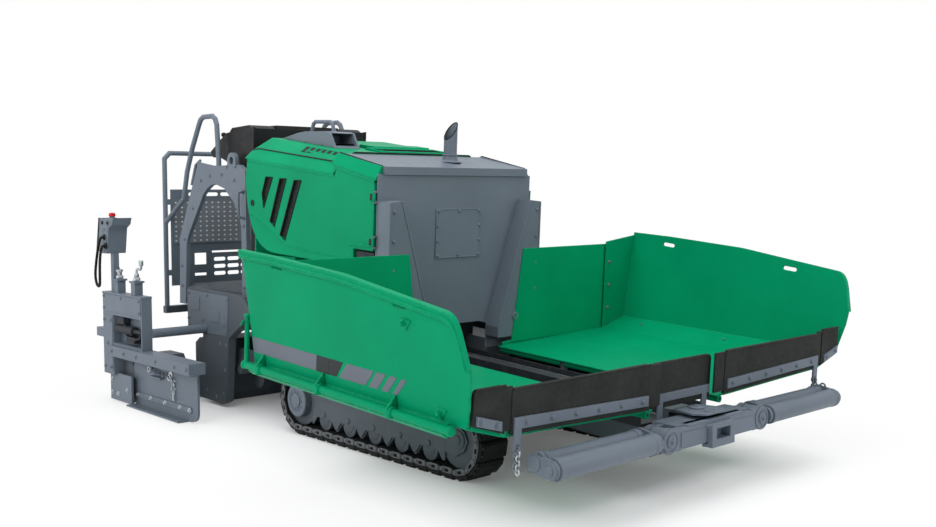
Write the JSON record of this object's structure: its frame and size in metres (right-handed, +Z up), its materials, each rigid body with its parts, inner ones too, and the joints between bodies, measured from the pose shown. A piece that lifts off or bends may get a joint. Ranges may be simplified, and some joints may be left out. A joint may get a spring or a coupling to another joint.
{
  "type": "asphalt paver",
  "caption": "Compact tracked asphalt paver with a folding hopper, push rollers, an engine hood with side doors, an operator platform and a floating screed with sliding extensions.",
  "frame": {"origin": "on the ground, at the middle of the whole machine's length and width, screed extended", "axes": "+X forward to the push rollers, +Y to the machine's left, +Z up"},
  "size_m": [4.384, 3.0428, 1.9515],
  "materials": {
    "green_paint": "semi-gloss green paint with scuffs",
    "grey_paint": "semi-gloss blue-grey paint",
    "dark_grey_paint": "matt dark grey paint",
    "rubber": "dusty black rubber",
    "black_plastic": "grained black plastic",
    "chain_iron": "worn cast iron",
    "roller_steel": "grey painted steel worn by tyres"
  },
  "bodies": {
    "tractor": {"main_frame": "dark_grey_paint", "engine": "grey_paint", "track_frames": "grey_paint", "track_right": "rubber", "track_left": "rubber", "conveyor_deck": "dark_grey_paint", "conveyor_chains": "chain_iron", "hopper_rear_walls": "green_paint", "centre_apron": "rubber", "centre_strip": "grey_paint", "hood_front": "grey_paint", "hood_lid": "grey_paint", "exhaust": "grey_paint", "hood_top": "green_paint", "intake_hump": "grey_paint", "platform": "grey_paint", "arches": "grey_paint", "handrails": "grey_paint", "backrest": "grey_paint", "operator_desk": "black_plastic", "auger_case": "dark_grey_paint"},
    "screed_unit": {"tow_arms": "grey_paint", "screed": "dark_grey_paint"},
    "beam": {"push_beam": "grey_paint"},
    "wing_right": {"wing_right": "green_paint", "wing_flap_right": "rubber", "apron_strip_right": "grey_paint"},
    "arm_right": {"push_arm_right": "grey_paint"},
    "roller_right": {"push_roller_right": "roller_steel"},
    "door_right": {"door_right": "green_paint"},
    "extension_right": {"screed_ext_right": "dark_grey_paint", "end_gate_right": "grey_paint", "side_console_right": "grey_paint", "console_cable_right": "rubber"},
    "auger_right": {"auger_right": "dark_grey_paint"},
    "wing_left": {"wing_left": "green_paint", "wing_flap_left": "rubber", "apron_strip_left": "grey_paint"},
    "arm_left": {"push_arm_left": "grey_paint"},
    "roller_left": {"push_roller_left": "roller_steel"},
    "door_left": {"door_left": "green_paint"},
    "extension_left": {"screed_ext_left": "dark_grey_paint", "end_gate_left": "grey_paint", "side_console_left": "grey_paint", "console_cable_left": "rubber"},
    "auger_left": {"auger_left": "dark_grey_paint"}
  },
  "joints": [
    {"name": "screed_lift", "type": "hinge", "parent": "tractor", "child": "screed_unit", "pos_m": [0.18, 0, 0.53], "axis": [0, 1, 0], "range_deg": [0, 5.5]},
    {"name": "push_beam_swing", "type": "hinge", "parent": "tractor", "child": "beam", "pos_m": [2.04, 0, 0.33], "axis": [0, 0, 1], "range_deg": [-4, 4]},
    {"name": "wing_fold_right", "type": "hinge", "parent": "tractor", "child": "wing_right", "pos_m": [1.04453, -0.288, 0.4532], "axis": [-0.9987, 0, 0.0511], "range_deg": [0, 65]},
    {"name": "arm_fold_right", "type": "hinge", "parent": "beam", "child": "arm_right", "pos_m": [2.1, -0.365, 0.33], "axis": [-1, 0, 0], "range_deg": [0, 65]},
    {"name": "roller_spin_right", "type": "hinge", "parent": "arm_right", "child": "roller_right", "pos_m": [2.137, -0.7, 0.33], "axis": [0, 1, 0], "continuous": true},
    {"name": "door_swing_right", "type": "hinge", "parent": "tractor", "child": "door_right", "pos_m": [0.34708, -0.604, 1.28394], "axis": [0.0511, 0, 0.9987], "range_deg": [0, 75]},
    {"name": "extension_slide_right", "type": "slide", "parent": "screed_unit", "child": "extension_right", "axis": [0, 1, 0], "range_m": [0, 0.37]},
    {"name": "auger_spin_right", "type": "hinge", "parent": "tractor", "child": "auger_right", "pos_m": [-1.2007, -0.297, 0.2517], "axis": [0, 1, 0], "continuous": true},
    {"name": "wing_fold_left", "type": "hinge", "parent": "tractor", "child": "wing_left", "pos_m": [1.04453, 0.288, 0.4532], "axis": [0.9987, 0, -0.0511], "range_deg": [0, 65]},
    {"name": "arm_fold_left", "type": "hinge", "parent": "beam", "child": "arm_left", "pos_m": [2.1, 0.365, 0.33], "axis": [1, 0, 0], "range_deg": [0, 65]},
    {"name": "roller_spin_left", "type": "hinge", "parent": "arm_left", "child": "roller_left", "pos_m": [2.137, 0.7, 0.33], "axis": [0, 1, 0], "continuous": true},
    {"name": "door_swing_left", "type": "hinge", "parent": "tractor", "child": "door_left", "pos_m": [0.34708, 0.604, 1.28394], "axis": [-0.0511, 0, -0.9987], "range_deg": [0, 75]},
    {"name": "extension_slide_left", "type": "slide", "parent": "screed_unit", "child": "extension_left", "axis": [0, -1, 0], "range_m": [0, 0.37]},
    {"name": "auger_spin_left", "type": "hinge", "parent": "tractor", "child": "auger_left", "pos_m": [-1.2007, 0.297, 0.2517], "axis": [0, 1, 0], "continuous": true}
  ],
  "couplings": [
    {"joint": "arm_fold_right", "follows": "wing_fold_right", "ratio": 1},
    {"joint": "arm_fold_left", "follows": "wing_fold_left", "ratio": 1}
  ]
}
